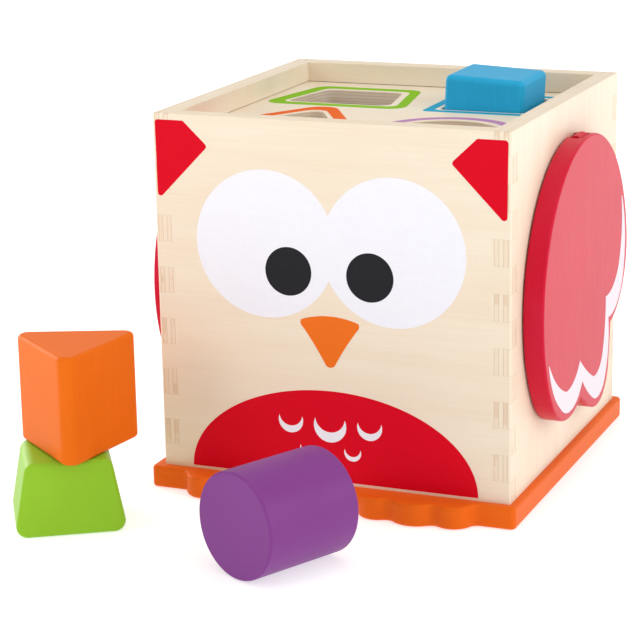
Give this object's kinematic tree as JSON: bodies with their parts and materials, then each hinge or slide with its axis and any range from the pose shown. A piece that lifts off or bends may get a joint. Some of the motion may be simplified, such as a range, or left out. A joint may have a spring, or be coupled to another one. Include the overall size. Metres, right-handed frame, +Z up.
{
  "type": "shape sorter",
  "caption": "Wooden box shape sorter with an owl face, a sunken panel of shaped holes, lift-up wings over round side openings, a clawed base plate and loose blocks.",
  "frame": {"origin": "centre of the box on the base plate's underside, which is the surface it stands on", "axes": "+Z up, -Y the way the owl's face looks, +X to the right of a person facing the owl"},
  "size_m": [0.2027, 0.2495, 0.1622],
  "materials": {
    "birch_ply": "clear satin lacquer over pale plywood",
    "orange_stain": "satin orange lacquer",
    "red_paint": "satin red lacquer",
    "blue_paint": "satin blue lacquer",
    "orange_paint": "satin orange lacquer",
    "green_paint": "satin green lacquer",
    "purple_paint": "satin purple lacquer",
    "steel": "bright zinc",
    "red_ink": "screen-printed ink",
    "white_ink": "screen-printed ink",
    "black_ink": "screen-printed ink",
    "orange_ink": "screen-printed ink",
    "green_ink": "screen-printed ink",
    "blue_ink": "screen-printed ink",
    "purple_ink": "screen-printed ink"
  },
  "bodies": {
    "box": {"front_panel": "birch_ply", "back_panel": "birch_ply", "left_panel": "birch_ply", "right_panel": "birch_ply", "sorter_panel": "birch_ply", "base_plate": "orange_stain", "base_screws": "steel", "left_hinge_lug": "red_paint", "right_hinge_lug": "red_paint"},
    "right_wing": {"right_wing": "red_paint", "right_hinge_pin": "steel", "right_pin_plug": "red_paint"},
    "left_wing": {"left_wing": "red_paint", "left_hinge_pin": "steel", "left_pin_plug": "red_paint"},
    "square_block": {"square_block": "blue_paint"},
    "trapezoid_block": {"trapezoid_block": "green_paint"},
    "triangle_block": {"triangle_block": "orange_paint"},
    "round_block": {"round_block": "purple_paint"}
  },
  "joints": [
    {"name": "right_wing_hinge", "type": "hinge", "parent": "box", "child": "right_wing", "pos_m": [0.0793, 0, 0.1402], "axis": [0, -1, 0], "range_deg": [0, 110]},
    {"name": "left_wing_hinge", "type": "hinge", "parent": "box", "child": "left_wing", "pos_m": [-0.0793, 0, 0.1402], "axis": [0, 1, 0], "range_deg": [0, 110]},
    {"name": "square_block_slide", "type": "slide", "parent": "box", "child": "square_block", "axis": [0, 0, 1], "range_m": [-0.1168, 0.06]},
    {"name": "trapezoid_block_lift", "type": "slide", "parent": "box", "child": "trapezoid_block", "axis": [0, 0, 1], "range_m": [0, 0.06]},
    {"name": "triangle_block_lift", "type": "slide", "parent": "trapezoid_block", "child": "triangle_block", "axis": [0, 0, 1], "range_m": [0, 0.06]},
    {"name": "round_block_lift", "type": "slide", "parent": "box", "child": "round_block", "axis": [0, 0, 1], "range_m": [0, 0.06]}
  ]
}
